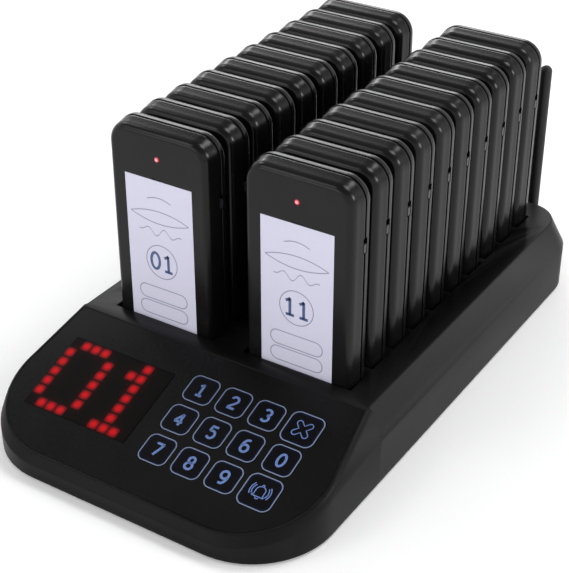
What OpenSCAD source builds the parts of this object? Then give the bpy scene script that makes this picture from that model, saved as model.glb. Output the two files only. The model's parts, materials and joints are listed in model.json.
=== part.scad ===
// Guest pager system: a keypad base that charges twenty handheld pagers in two rows.
// Millimetres. +Z is up and the keypad faces -Y. X = 0 is the plane between the two rows.
// The origin lies on the table, at the middle of the box that holds the whole object.

/* [Housing] */
// Thickness of the housing's walls
wall = 2.5; // [2:0.1:3]
// Height of the deck above the table
deck_h = 34.4; // [33:0.1:37]
// Height of the upright side walls, where the slanted shoulder starts
shoulder_h = 21.5; // [19:0.5:24]
// How far the deck's edge stands in from the side walls
shoulder_in = 6.6; // [5:0.1:8]
// Gap between the table and the housing's lower edge
skirt_gap = 1.2; // [1:0.1:1.8]
// Length of the sloping front, from the ridge to the front wall
front_len = 70.4; // [70:0.2:74]
// Slope of the control panel, in degrees
panel_tilt = 18.6; // [17.5:0.1:19]
// Corner radius of the front of the base, seen from above
front_r = 35; // [32:0.5:37]
// Corner radius of the rear of the base, seen from above
rear_r = 22; // [18:0.5:24]
// Deck strip between a row of pagers and the side edge of the deck
side_land = 11.9; // [11:0.1:14]
// Deck strip between the last pagers and the rear edge of the deck
rear_land = 13.2; // [13:0.1:18]
// Width of the rounded rim round the control panel at the sides
rim_side = 2.8; // [2.4:0.1:3.2]
// Width of the rounded rim in front of the control panel
rim_front = 3.8; // [3.2:0.1:4.4]
// Drop of the rounded rim at the front wall
rim_drop = 3.0; // [2.5:0.1:3.5]

/* [Pagers] */
// Width of a pager
pager_w = 50; // [48:0.5:52]
// Height of a pager
pager_h = 105; // [100:1:112]
// Thickness of a pager
pager_t = 12.8; // [12.4:0.1:13.2]
// Corner radius of a pager, seen from the front
pager_r = 9.5; // [8:0.5:11]
// Width of the rounded border of a pager's front face
border_w = 3.6; // [3:0.1:4.2]
// Depth of the rounded border of a pager's front face
border_d = 4; // [3.4:0.1:4.6]
// Width and depth of the rounded border at a pager's back
back_round = 2.6; // [2:0.1:3]
// Distance from a pager's front face to the seam between its shells
seam_y = 8.2; // [7.8:0.1:8.6]
// Width of the groove along that seam
seam_groove = 0.4; // [0.3:0.1:0.6]
// Wall thickness of a pager's shells
shell = 1.8; // [1.5:0.1:2.1]
// Distance from one pager to the next in a row
pitch = 17.15; // [16.8:0.05:18]
// Gap between the two rows of pagers
row_gap = 15; // [13:0.5:18]
// Distance from the ridge to the first pagers
first_gap = 8; // [6:0.5:10]
// How deep a pager stands in its slot
slot_depth = 17; // [15:0.5:18]
// Clearance on each side of a pager in its slot
slot_fit = 0.4; // [0.3:0.05:0.5]

/* [Pager details] */
// Width of the paper label
label_w = 32.8; // [30:0.2:36]
// Height of the paper label
label_h = 71; // [66:0.5:74]
// Thickness of the paper label
label_t = 0.25; // [0.2:0.05:0.35]
// Distance from a pager's top to its label
label_drop = 21.8; // [20:0.2:24]
// Distance from a pager's top to its lamp
lamp_drop = 12.3; // [10:0.1:14]
// Diameter of the lamp
lamp_d = 2.2; // [1.8:0.1:3]
// Distance from a pager's top to the middle of its side switch
switch_drop = 27.2; // [26:0.1:30]
// Length of the side switch's opening
switch_len = 6.6; // [6:0.1:8]
// Height and depth of the side switch's opening
switch_gap = 2.4; // [2:0.1:2.8]
// Travel of the side switch
switch_travel = 2.4; // [1.8:0.1:2.6]
// Thickness of a pager's circuit board
pager_board_t = 1; // [0.8:0.1:1.2]
// Distance from a pager's front face to its circuit board
pager_board_y = 4.6; // [4.4:0.1:4.8]
// Thickness of a pager's battery
battery_t = 3.6; // [3:0.1:3.8]
// Width of a pager's battery
battery_w = 28; // [24:1:30]
// Length of a pager's battery
battery_l = 38; // [34:1:42]
// Height of the battery above a pager's foot
battery_z = 30; // [28:1:32]
// Diameter of a pager's buzz motor
motor_d = 10; // [8:0.5:10]
// Thickness of a pager's buzz motor
motor_t = 2.7; // [2.2:0.1:3]
// Distance from a pager's top to the middle of its motor
motor_drop = 22; // [20:1:24]
// Distance from a pager's middle to the middle of its motor
motor_x = 10; // [8:1:11]
// Distance between a pager's two charging contacts
contact_span = 16; // [12:1:20]
// Length of a charging contact
contact_l = 5; // [4:0.5:6]
// Width of a charging contact
contact_w = 3.2; // [2.8:0.2:4]

/* [Control panel] */
// Thickness of the glossy control panel
panel_t = 1.2; // [1:0.1:1.4]
// Width of the display window
window_w = 50.8; // [48:0.2:51]
// Height of the display window, along the slope
window_h = 34.9; // [33:0.1:36]
// Distance from the middle plane to the middle of the display window
window_x = 35.8; // [35.4:0.1:36.2]
// Distance from the ridge to the middle of the display window, along the slope
window_v = 34.2; // [33:0.1:35]
// Width of the ledge that carries the display window
window_ledge = 2; // [1.5:0.1:2.5]
// Clearance round the control panel and its inserts
inlay_fit = 0.15; // [0.1:0.05:0.25]

/* [Keys] */
// Width of a number key's cap
key_w = 13.2; // [12.4:0.1:13.4]
// Width of the cancel key's and the call key's caps
wide_key_w = 15; // [14:0.1:15.2]
// Corner radius of a key's cap
key_r = 3.3; // [2.5:0.1:4]
// Distance between the first three key columns
key_dx = 15.52; // [15.4:0.02:15.8]
// Distance between the third and the fourth key column
last_dx = 16.3; // [16.2:0.1:16.6]
// Distance between the key rows, along the slope
key_dv = 15.7; // [15.6:0.1:16]
// Distance from the middle plane to the first key column
key_x = 3.95; // [3.8:0.05:4.2]
// Distance from the ridge to the first key row, along the slope
key_v = 18.1; // [17.6:0.1:18.4]
// Travel of a key
key_travel = 0.4; // [0.3:0.05:0.5]
// Gap round a key's cap
key_gap = 0.25; // [0.2:0.05:0.3]
// Width of the flange that holds a key under the panel
flange_w = 0.5; // [0.4:0.05:0.6]
// Thickness of that flange
flange_t = 1; // [0.8:0.1:1.2]
// Diameter of a key's post
post_d = 3; // [2.6:0.1:3.4]
// Width of a key switch
tact_w = 6; // [5.6:0.1:6.4]
// Height of a key switch
tact_h = 3.4; // [3.2:0.1:3.6]

/* [Electronics] */
// Thickness of the base's circuit boards
board_t = 1.6; // [1.2:0.1:1.8]
// Width of a charging board
charge_board_w = 44; // [42:1:50]
// Diameter of a charging pin
pin_d = 1.4; // [1.2:0.1:1.6]
// Height of the posts that carry the charging boards
hanger_h = 2; // [1.8:0.1:2.4]
// Length of the main board, from side to side
main_board_l = 100; // [96:1:104]
// Width of the main board, from front to back
main_board_w = 28; // [26:0.5:29]
// Diameter of the posts and standoffs that carry the boards
board_post_d = 5; // [4.6:0.1:5.2]
// Depth of the screw holes in the main board's standoffs
standoff_pilot = 2.6; // [2.4:0.1:2.8]
// Depth of the screw holes in the keypad board's posts
keypad_pilot = 4; // [3.4:0.1:4.4]
// Height of the standoffs that carry the main board
standoff_h = 3; // [2.5:0.1:3.4]
// Diameter of the buzzer
buzzer_d = 12; // [9:0.5:12]
// Height of the buzzer
buzzer_h = 7.5; // [6:0.5:8]

/* [Rear sockets and antenna] */
// Height of the rear sockets above the table
socket_z = 10.4; // [10:0.1:11]
// Distance from the middle plane to the power inlet
jack_x = 48; // [44:1:49]
// Bore of the power inlet
jack_bore = 6.2; // [6:0.1:6.4]
// Distance from the middle plane to the power switch
rocker_x = 18; // [16:1:24]
// Length of the power switch's rocker
rocker_len = 14; // [13:0.5:16]
// Height of the power switch's rocker
rocker_h = 7.6; // [7:0.1:8]
// Rocking angle of the power switch, end to end, in degrees
rocker_swing = 14; // [10:1:16]
// Distance from the middle plane to the antenna
antenna_x = 48; // [46:0.5:52]
// Distance from the rear wall to the antenna's axis
antenna_out = 8.5; // [8:0.1:10]
// Diameter of the antenna's rod
antenna_d = 5.8; // [5:0.1:6.4]
// Height of the antenna's tip above the table
antenna_top = 99; // [90:1:115]
// Diameter of the antenna's knuckle
knuckle_d = 9; // [8.6:0.1:9.6]
// Radial clearance of the antenna's pivots
pivot_fit = 0.06; // [0.04:0.01:0.09]

/* [Feet and screws] */
// Diameter of a rubber foot
foot_d = 14; // [10:0.5:16]
// Distance from the side walls to the feet and the front screw posts
foot_in = 24; // [22:1:26]
// Distance from the front wall to the front feet
front_foot_in = 30; // [28:1:33]
// Distance from the rear wall to the rear feet
rear_foot_in = 26; // [24:1:28]
// Depth of a foot's seat in the bottom cover
foot_seat = 0.8; // [0.6:0.1:1]
// Thickness of the bottom cover
floor_t = 2.2; // [2:0.1:2.6]
// Clearance round the bottom cover
floor_fit = 0.3; // [0.2:0.05:0.4]
// Diameter of a screw post
screw_post_d = 7; // [6.5:0.1:7.6]
// Distance from the inside of a side wall to its screw posts
post_in = 4.2; // [4:0.1:4.5]
// Distance from the front wall to the front screw posts
front_post_in = 9.5; // [9:0.5:11]
// Length of a case screw's thread in its post
case_thread = 6; // [5:0.5:7]
// Thread diameter of a case screw
case_screw_d = 2.6; // [2.4:0.1:3]
// Thread diameter of a board screw
board_screw_d = 2; // [1.8:0.1:2.2]
// Radial clearance of a screw in its hole
screw_fit = 0.1; // [0.05:0.05:0.15]

/* [Hidden] */
PER_ROW = 10;
function two_digits(i) = str(i < 10 ? "0" : "", i);
function pager_name(i) = str("pager_", two_digits(i));
KEYS = ["key_1", "key_2", "key_3", "key_cancel",
        "key_4", "key_5", "key_6", "key_0",
        "key_7", "key_8", "key_9", "key_call"];
BASE = ["top_cover", "bottom_cover", "control_panel", "display_window", "led_matrix",
        "keypad_board", "key_switches", "main_board", "charging_boards", "charge_pins",
        "buzzer", "power_jack", "switch_body", "power_rocker", "antenna_connector",
        "antenna_knuckle", "antenna_rod", "rubber_feet", "case_screws", "board_screws"];
FIRST_PAGER = ["pager_01_front_shell", "pager_01_back_shell", "pager_01_label",
               "pager_01_lamp", "pager_01_board", "pager_01_battery",
               "pager_01_motor", "pager_01_switch", "pager_01_contacts"];

// Smoothness of round parts, and of the rounded front of the housing
$fn = 48;
rim_fn = 72;
// Angles of the flats in the rounding under the panel's edge, its depth, and a thin slice of it
rim_angles = [0, 22, 44, 66];
rim_depth = 3.2;
rim_slice = 0.1;
// Fall of the side wall's top beside the panel, and of the front wall's top inside the case
shoulder_fall = 4.4;
rim_lean = 0.4;
// Overshoot of a cut past a face
cut = 1;
// Gap between a pager's foot and the floor of its slot, and between a pin and its contact
seat_gap = 0.05;
// Gap between two pieces of a pager that lie against each other
lie = 0.03;
// Rounded border worked out in this many flats
border_flats = 3;

// Places that follow from the sizes above
row_x = (row_gap + pager_w) / 2;
slot_w = pager_w + 2 * slot_fit;
slot_t = pager_t + 2 * slot_fit;
slot_floor_z = deck_h - slot_depth;
well_wall = 1.6;
well_floor_t = 2;
deck_half = row_x + pager_w / 2 + side_land;
base_half = deck_half + shoulder_in;
last_back = first_gap + (PER_ROW - 1) * pitch + pager_t;
rear_y = last_back + rear_land + shoulder_in;
knuckle_r = knuckle_d / 2;
ridge_y = (front_len - rear_y - antenna_out - knuckle_r) / 2;
floor_top = skirt_gap + floor_t;

// The slanted shoulder, drawn inwards by t: x and z where it meets wall and deck
shoulder_len = norm([shoulder_in, deck_h - shoulder_h]);
shoulder_nx = (deck_h - shoulder_h) / shoulder_len;
shoulder_nz = shoulder_in / shoulder_len;
shoulder_c = base_half * shoulder_nx + shoulder_h * shoulder_nz;
function shoulder_z(t) = (shoulder_c - t - (base_half - t) * shoulder_nx) / shoulder_nz;
function deck_x(t) = (shoulder_c - t - (deck_h - t) * shoulder_nz) / shoulder_nx;

// The control panel's own frame: x across, y up the slope from the ridge, z out of the panel
panel_len = front_len / cos(panel_tilt) - rim_front;
panel_half = base_half - rim_side;
panel_r = front_r - rim_side / 2;
seat_ease = 0.1;
ridge_margin = 0.8;
matrix_top = 2.9;
flange_top = panel_t + 0.2;
post_end = flange_top + flange_t + 2.3;
tact_top = post_end - 0.7;
keypad_z = tact_top + tact_h;
keypad_x0 = window_x + window_w / 2 + 1;
keypad_x1 = key_x + 2 * key_dx + last_dx + wide_key_w / 2 + 3;
keypad_v0 = 9.5;
keypad_v1 = key_v + 2 * key_dv + wide_key_w / 2 + 2;
function key_cx(c) = key_x + min(c, 2) * key_dx + (c > 2 ? last_dx : 0);
function key_cv(r) = key_v + r * key_dv;
function cap_w(i) = KEYS[i] == "key_cancel" || KEYS[i] == "key_call" ? wide_key_w : key_w;

// Screw posts of the housing: x, y from the ridge
post_side_x = base_half - wall - post_in;
post_rows = [first_gap, last_back / 2, last_back - post_in];
case_posts = [for (s = [-1, 1], y = post_rows) [s * post_side_x, y],
              for (s = [-1, 1]) [s * (base_half - foot_in), -front_len + front_post_in]];
middle_foot_y = rear_y / 2 - foot_d;
foot_rows = [-front_len + front_foot_in, middle_foot_y, rear_y - rear_foot_in];
foot_places = [for (s = [-1, 1], y = foot_rows) [s * (base_half - foot_in), y]];
hanger_rows = [0.5, 4.5, 8.5];

// Charging boards and pins
charge_board_top = slot_floor_z - well_floor_t - hanger_h;
charge_board_y0 = first_gap - 1;
charge_board_y1 = last_back + 1;
hanger_x = 19;
pin_shoulder_h = 1.2;

// Room past the tip of a screw
tip_room = 0.8;
tip_gap = 0.3;

// Main board
main_board_z = floor_top + standoff_h;
main_board_y = -main_board_w / 2 - 2;
main_hole_x = main_board_l / 2 - 4;
main_hole_y = main_board_w / 2 - 4;
radio_l = 18;
radio_w = 12;
radio_t = 2.4;
capacitor_l = 4;
capacitor_w = 2.4;

// Rear parts
bezel_t = 1.4;
bezel_rim = 1.6;
rocker_fit = 0.3;
rocker_body_l = 12;
rocker_pin_d = 2;
rocker_back = 2.4;
rocker_face = 2.6;
jack_body_w = 9;
jack_body_l = 12;
bushing_d = 6.4;
bushing_nut_af = 8.4;
bushing_nut_t = 2;
connector_pin_d = 3.4;
antenna_z = socket_z + 1.6;
knuckle_y0 = rear_y + bushing_nut_t + 0.3;
fork_gap = 4;
tongue_t = fork_gap - 0.5;
tilt_pin_d = 2;

// Pager insides
board_inset = 3.2;
pager_board_back = pager_board_y + pager_board_t;
label_bottom = pager_h - label_drop - label_h;
contact_t = 0.4;
face_wall = shell + 0.4;
lip_t = 1.2;
chip_w = 8;
chip_t = 1;
notch_r = 3.4;

// ---------- shared shapes ----------

// Moves what is drawn from the ridge frame to the part's own frame
module placed() {
    translate([0, ridge_y, 0])
        children();
}

// Turns the panel's own frame into place
module on_panel(depth = 0) {
    placed()
        translate([0, 0, deck_h])
            rotate([panel_tilt, 0, 0])
                translate([0, 0, -depth])
                    children();
}

// Plate of thickness t in the XY plane with round corners
module round_plate(w, h, r, t) {
    translate([-w / 2 + r, -h / 2, 0])
        cube([w - 2 * r, h, t]);
    translate([-w / 2, -h / 2 + r, 0])
        cube([w, h - 2 * r, t]);
    for (sx = [-1, 1], sy = [-1, 1])
        translate([sx * (w / 2 - r), sy * (h / 2 - r), 0])
            cylinder(r = r, h = t);
}

// The same plate standing upright, its front face at y = 0
module upright_plate(w, h, r, t) {
    translate([0, t, 0])
        rotate([90, 0, 0])
            round_plate(w, h, r, t);
}

// Section of a case shell: distance out from the middle, depth back from the face
function border_points(reach, bw, bd) = [for (i = [0:border_flats])
    let (a = 90 * i / border_flats)
    [reach - bw + bw * sin(a), bd - bd * cos(a)]];

module shell_section(reach, t, bw, bd) {
    polygon(concat([[0, t], [0, 0]], border_points(reach, bw, bd), [[reach, t]]));
}

module shell_slice(reach, t, bw, bd) {
    shell_section(reach, t, bw, bd);
    mirror([1, 0])
        shell_section(reach, t, bw, bd);
}

// Upright case with round corners whose front edge is rounded all the way round
module rounded_case(w, h, r, t, bw, bd) {
    for (sx = [-1, 1], sz = [-1, 1])
        translate([sx * (w / 2 - r), 0, sz * (h / 2 - r)])
            rotate([-90, 0, 0])
                rotate_extrude()
                    shell_section(r, t, bw, bd);
    translate([0, 0, -h / 2 + r])
        linear_extrude(h - 2 * r)
            shell_slice(w / 2, t, bw, bd);
    rotate([0, 90, 0])
        translate([0, 0, -w / 2 + r])
            linear_extrude(w - 2 * r)
                shell_slice(h / 2, t, bw, bd);
}

// Pan-head screw, head down, tip up: z = 0 is the underside of what it clamps
module screw(d, l) {
    translate([0, 0, -0.65 * d])
        cylinder(d = 1.9 * d, h = 0.65 * d);
    cylinder(d = d, h = l);
}

// ---------- housing ----------

// Rear block of the housing, every face moved inwards by t
module rear_block(t) {
    half = base_half - t;
    top = deck_h - t;
    low = t > 0 ? skirt_gap - cut : skirt_gap;
    r = rear_r - t;
    slant = half - deck_x(t);
    side = [[0, low], [half, low], [half, shoulder_z(t)], [deck_x(t), top], [0, top]];
    translate([0, rear_y - t - r, 0])
        rotate([90, 0, 0])
            linear_extrude(rear_y - t - r) {
                polygon(side);
                mirror([1, 0])
                    polygon(side);
            }
    translate([-half + r, rear_y - t - r, 0])
        rotate([90, 0, 90])
            linear_extrude(2 * (half - r))
                polygon([[0, low], [r, low], [r, shoulder_z(t)], [r - slant, top], [0, top]]);
    for (s = [-1, 1])
        translate([s * (half - r), rear_y - t - r, 0])
            rotate_extrude()
                polygon([[0, low], [r, low], [r, shoulder_z(t)], [r - slant, top], [0, top]]);
}

// Slab of thickness t with the control panel's outline, in the panel's frame, grown by g
module panel_slab(t, g = 0, smooth = $fn, corner = panel_r) {
    r = corner + g;
    half = panel_half + g;
    y0 = -panel_len - g;
    ridge_half = deck_half - ridge_margin + g;
    linear_extrude(t)
        polygon([[-ridge_half, -ridge_margin + g], [ridge_half, -ridge_margin + g],
                 [half, y0 + r], [-half, y0 + r]]);
    translate([-half + r, y0, 0])
        cube([2 * (half - r), 1.5 * r, t]);
    for (s = [-1, 1])
        translate([s * (half - r), y0 + r, 0])
            cylinder(r = r, h = t, $fn = smooth);
}

// Footprint of the front of the base
module front_footprint(t) {
    for (s = [-1, 1])
        translate([s * (base_half - front_r), -front_len + front_r])
            circle(front_r - t, $fn = rim_fn);
    translate([-base_half + t, -front_len + front_r])
        square([2 * (base_half - t), front_len - front_r]);
}

// Sloping front block with its rounded rim, every face moved inwards by t
module front_block(t) {
    low = t > 0 ? skirt_gap - cut : skirt_gap;
    side_z = shoulder_z(t) - shoulder_fall;
    front_z = deck_h - front_len * tan(panel_tilt) - rim_drop;
    half = base_half - t;
    side = [[0, low], [half, low], [half, shoulder_z(t)], [deck_x(t), deck_h - t], [0, deck_h - t]];
    front_half = [[0, low], [0, side_z], [-front_len + front_r, side_z],
                  [-front_len, front_z - rim_lean * t], [-front_len, low]];
    hull() {
        // section at the ridge
        translate([0, 2, 0])
            rotate([90, 0, 0])
                linear_extrude(2) {
                    polygon(side);
                    mirror([1, 0])
                        polygon(side);
                }
        // upright wall below the rim, its top falling towards the front
        intersection() {
            translate([0, 0, low])
                linear_extrude(deck_h)
                    front_footprint(t);
            rotate([90, 0, 90])
                linear_extrude(4 * base_half, center = true)
                    polygon(front_half);
        }
        // edge of the panel and the rounding below it
        translate([0, 0, deck_h])
            rotate([panel_tilt, 0, 0])
                for (a = rim_angles)
                    translate([0, 0, -t - rim_slice - rim_depth * (1 - cos(a))])
                        panel_slab(rim_slice, rim_side * sin(a) - t, rim_fn);
    }
}

// One charging slot, counted from the front
module at_slot(s, i) {
    translate([s * row_x, first_gap + i * pitch, slot_floor_z])
        children();
}

module at_pins(s, i) {
    at_slot(s, i)
        for (x = [-1, 1])
            translate([x * contact_span / 2, pager_t / 2, 0])
                children();
}

// Posts under a row of slots, where its charging board is screwed on
module at_hangers(s) {
    for (i = hanger_rows, x = [-1, 1])
        translate([s * row_x + x * hanger_x, first_gap + i * pitch - (pitch - pager_t) / 2, 0])
            children();
}

module top_cover() {
    well_y0 = first_gap - slot_fit - well_wall;
    well_y1 = last_back + slot_fit + well_wall;
    well_half = slot_w / 2 + well_wall;
    color("#1c1c1e")
    difference() {
        union() {
            // hollow shell: rear block and sloping front
            placed()
                difference() {
                    union() {
                        rear_block(0);
                        front_block(0);
                    }
                    rear_block(wall);
                    front_block(wall);
                }
            // wells that hold the pagers, hung under the deck
            placed()
                for (s = [-1, 1]) {
                    translate([s * row_x - well_half, well_y0, slot_floor_z - well_floor_t])
                        cube([2 * well_half, well_y1 - well_y0, slot_depth + well_floor_t - wall / 2]);
                    at_hangers(s)
                        translate([0, 0, charge_board_top])
                            cylinder(d = board_post_d, h = hanger_h + cut);
                }
            // screw posts
            placed()
                for (p = case_posts)
                    translate([p[0], p[1], floor_top])
                        cylinder(d = screw_post_d, h = case_post_h(p[1]));
            // posts under the panel for the keypad board
            keypad_posts()
                cylinder(d = board_post_d, h = keypad_z - wall / 2);
        }
        // slots, pin holes and pilot holes
        placed() {
            for (s = [-1, 1], i = [0:PER_ROW - 1]) {
                at_slot(s, i)
                    translate([-slot_w / 2, -slot_fit, 0])
                        cube([slot_w, slot_t, slot_depth + cut]);
                at_pins(s, i)
                    translate([0, 0, -well_floor_t - cut])
                        cylinder(d = pin_d + 0.6, h = well_floor_t + 2 * cut);
            }
            for (s = [-1, 1])
                at_hangers(s)
                    translate([0, 0, charge_board_top - cut])
                        cylinder(d = board_screw_d + 2 * screw_fit, h = hanger_h + cut + tip_room);
            for (p = case_posts)
                translate([p[0], p[1], floor_top - cut])
                    cylinder(d = case_screw_d + 2 * screw_fit, h = case_thread + tip_room + cut);
        }
        keypad_posts()
            translate([0, 0, -cut])
                cylinder(d = board_screw_d + 2 * screw_fit, h = keypad_pilot + cut);
        // seat of the glossy panel
        on_panel(panel_t)
            panel_slab(panel_t + cut, inlay_fit, corner = panel_r + seat_ease);
        // openings behind the display window and the keys
        on_panel(wall + cut)
            translate([-window_x - window_w / 2 + window_ledge, -window_v - window_h / 2 + window_ledge, 0])
                cube([window_w - 2 * window_ledge, window_h - 2 * window_ledge, wall + 2 * cut]);
        on_panel(wall + cut)
            translate([key_x - key_w / 2 - 1, -key_cv(2) - wide_key_w / 2 - 1, 0])
                cube([key_cx(3) - key_x + (key_w + wide_key_w) / 2 + 2,
                      2 * key_dv + wide_key_w + 2, wall + cut]);
        // rear openings for the inlet, the switch and the antenna
        placed() {
            translate([-jack_x, rear_y - wall - cut, socket_z])
                rotate([-90, 0, 0])
                    cylinder(d = jack_bore + 2.4, h = wall + 2 * cut);
            translate([-rocker_x - rocker_len / 2 - bezel_rim, rear_y - wall - cut,
                       socket_z - rocker_h / 2 - bezel_rim])
                cube([rocker_len + 2 * bezel_rim, wall + 2 * cut, rocker_h + 2 * bezel_rim]);
            translate([antenna_x, rear_y - wall - cut, antenna_z])
                rotate([-90, 0, 0])
                    cylinder(d = bushing_d + 0.2, h = wall + 2 * cut);
        }
    }
}

// Height of a screw post: up into the panel's wall, or into the shoulder behind the ridge
function under_shoulder(x) = (shoulder_c - wall / 2 - x * shoulder_nx) / shoulder_nz;
function case_post_h(y) = (y < 0 ? deck_h + (y - screw_post_d / 2) * tan(panel_tilt) - panel_t - 0.5
    : under_shoulder(post_side_x + screw_post_d / 2)) - floor_top;

// Places of the posts that carry the keypad board, z = 0 on the board's face
module keypad_posts() {
    on_panel(keypad_z)
        for (p = [[-keypad_x0 + 2.6, -keypad_v0 - 3], [-keypad_x0 + 2.6, -keypad_v1 + 3],
                  [-4.7 - (window_x - window_w / 2 - 10.4) / 2, -keypad_v0 - 3],
                  [keypad_x1 - 2.6, -keypad_v0 - 3], [keypad_x1 - 2.6, -keypad_v1 + 3]])
            translate([p[0], p[1], 0])
                children();
}

// Flat base plate inside the housing's skirt, with foot seats and standoffs
module bottom_cover() {
    inset = wall + floor_fit;
    half = base_half - inset;
    color("#161617")
    placed()
        difference() {
            union() {
                translate([0, 0, skirt_gap])
                    linear_extrude(floor_t) {
                        translate([-half, -front_len + front_r])
                            square([2 * half, rear_y - rear_r + front_len - front_r]);
                        translate([-base_half + front_r, -front_len + inset])
                            square([2 * (base_half - front_r), front_r]);
                        translate([-base_half + rear_r, rear_y - rear_r])
                            square([2 * (base_half - rear_r), rear_r - inset]);
                        for (s = [-1, 1]) {
                            translate([s * (base_half - front_r), -front_len + front_r])
                                circle(front_r - inset);
                            translate([s * (base_half - rear_r), rear_y - rear_r])
                                circle(rear_r - inset);
                        }
                    }
                for (sx = [-1, 1], sy = [-1, 1])
                    translate([sx * main_hole_x, main_board_y + sy * main_hole_y, floor_top])
                        cylinder(d = board_post_d, h = standoff_h);
                // cradles under the power inlet
                translate([-jack_x - jack_body_w / 2, rear_y - wall - jack_body_l, floor_top])
                    cube([jack_body_w, jack_body_l, socket_z - jack_body_w / 2 - floor_top]);
            }
            for (p = foot_places)
                translate([p[0], p[1], skirt_gap - cut])
                    cylinder(d = foot_d + 0.3, h = foot_seat + cut);
            for (p = case_posts)
                translate([p[0], p[1], skirt_gap - cut]) {
                    cylinder(d = case_screw_d + 2 * screw_fit + 0.2, h = floor_t + 2 * cut);
                    cylinder(d = 1.9 * case_screw_d + 0.6, h = cut + floor_t / 2 + 0.2);
                }
            for (sx = [-1, 1], sy = [-1, 1])
                translate([sx * main_hole_x, main_board_y + sy * main_hole_y, main_board_z - standoff_pilot])
                    cylinder(d = board_screw_d + 2 * screw_fit, h = standoff_pilot + cut);
        }
}

module rubber_feet() {
    color("#222222")
    placed()
        for (p = foot_places)
            translate([p[0], p[1], 0])
                cylinder(d = foot_d, h = skirt_gap + foot_seat);
}

module case_screws() {
    color("silver")
    placed()
        for (p = case_posts)
            translate([p[0], p[1], skirt_gap + floor_t / 2 + 0.2])
                screw(case_screw_d, floor_t / 2 - 0.2 + case_thread);
}

module board_screws() {
    color("silver") {
        placed() {
            for (s = [-1, 1])
                at_hangers(s)
                    translate([0, 0, charge_board_top - board_t])
                        screw(board_screw_d, board_t + hanger_h);
            for (sx = [-1, 1], sy = [-1, 1])
                translate([sx * main_hole_x, main_board_y + sy * main_hole_y, main_board_z + board_t])
                    rotate([180, 0, 0])
                        screw(board_screw_d, board_t + standoff_pilot - tip_gap);
        }
        keypad_posts()
            translate([0, 0, -board_t])
                screw(board_screw_d, board_t + keypad_pilot - tip_gap);
    }
}

// ---------- control panel ----------

// Rounded square of a key, w wide and t thick, its top at z = 0
module key_block(w, r, t) {
    translate([0, 0, -t])
        round_plate(w, w, r, t);
}

module control_panel() {
    color("#0b0b0d")
    difference() {
        on_panel(panel_t)
            panel_slab(panel_t);
        on_panel(panel_t + cut)
            translate([-window_x - window_w / 2 - inlay_fit, -window_v - window_h / 2 - inlay_fit, 0])
                cube([window_w + 2 * inlay_fit, window_h + 2 * inlay_fit, panel_t + 2 * cut]);
        for (i = [0:len(KEYS) - 1])
            on_panel(-cut)
                translate([key_cx(i % 4), -key_cv(floor(i / 4)), 0])
                    key_block(cap_w(i) + 2 * key_gap, key_r + key_gap, panel_t + 2 * cut);
    }
}

module display_window() {
    color("#17090b")
    on_panel(panel_t)
        translate([-window_x - window_w / 2, -window_v - window_h / 2, 0])
            cube([window_w, window_h, panel_t]);
}

// Two dot-matrix display modules side by side under the window
module led_matrix() {
    module_w = (window_w - 2 * window_ledge) / 2 - 0.6;
    module_h = window_h - 2 * window_ledge - 0.8;
    color("#301010")
    on_panel(keypad_z)
        for (s = [-1, 1])
            translate([-window_x + s * (module_w / 2 + 0.2) - module_w / 2, -window_v - module_h / 2, 0])
                cube([module_w, module_h, keypad_z - matrix_top]);
}

module keypad_board() {
    color("#14532d")
    difference() {
        on_panel(keypad_z + board_t)
            translate([-keypad_x0, -keypad_v1, 0])
                cube([keypad_x0 + keypad_x1, keypad_v1 - keypad_v0, board_t]);
        keypad_posts()
            translate([0, 0, -board_t - cut])
                cylinder(d = board_screw_d + 2 * screw_fit + 0.2, h = board_t + 2 * cut);
    }
}

module key_switches() {
    color("#2b2b2b")
    for (i = [0:len(KEYS) - 1])
        on_panel(keypad_z)
            translate([key_cx(i % 4), -key_cv(floor(i / 4)), 0])
                difference() {
                    translate([-tact_w / 2, -tact_w / 2, 0])
                        cube([tact_w, tact_w, tact_h]);
                    translate([0, 0, tact_h - 0.7 - key_travel - 0.3])
                        cylinder(d = post_d + 0.6, h = 0.7 + key_travel + 0.3 + cut);
                }
}

// One key: cap in the panel, flange under it, post down into its switch
module key(i) {
    w = cap_w(i);
    color("#101014")
    on_panel(0)
        translate([key_cx(i % 4), -key_cv(floor(i / 4)), 0]) {
            key_block(w, key_r, flange_top + 0.2);
            translate([0, 0, -flange_top])
                key_block(w + 2 * flange_w, key_r + flange_w, flange_t);
            translate([0, 0, -post_end])
                cylinder(d = post_d, h = post_end - flange_top);
        }
}

// ---------- electronics in the base ----------

module main_board() {
    color("#14532d")
    placed()
        difference() {
            translate([-main_board_l / 2, main_board_y - main_board_w / 2, main_board_z])
                cube([main_board_l, main_board_w, board_t]);
            for (sx = [-1, 1], sy = [-1, 1])
                translate([sx * main_hole_x, main_board_y + sy * main_hole_y, main_board_z - cut])
                    cylinder(d = board_screw_d + 2 * screw_fit + 0.2, h = board_t + 2 * cut);
        }
    // processor, radio module in its can, and a row of capacitors
    placed()
        translate([0, main_board_y, main_board_z + board_t]) {
            color("#202020")
                translate([-chip_w, -chip_w / 2, 0])
                    cube([chip_w, chip_w, chip_t]);
            color("silver")
                translate([radio_l, -radio_w / 2, 0])
                    cube([radio_l, radio_w, radio_t]);
            color("#b08d57")
                for (k = [1:3])
                    translate([-2 * chip_w - k * 2 * capacitor_w, capacitor_l, 0])
                        cube([capacitor_w, capacitor_l, chip_t]);
        }
}

module buzzer() {
    color("#111111")
    placed()
        translate([-main_board_l / 2 + 12, main_board_y + 4, main_board_z + board_t])
            difference() {
                cylinder(d = buzzer_d, h = buzzer_h);
                translate([0, 0, buzzer_h - 1])
                    cylinder(d = 2, h = 1 + cut);
            }
}

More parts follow.
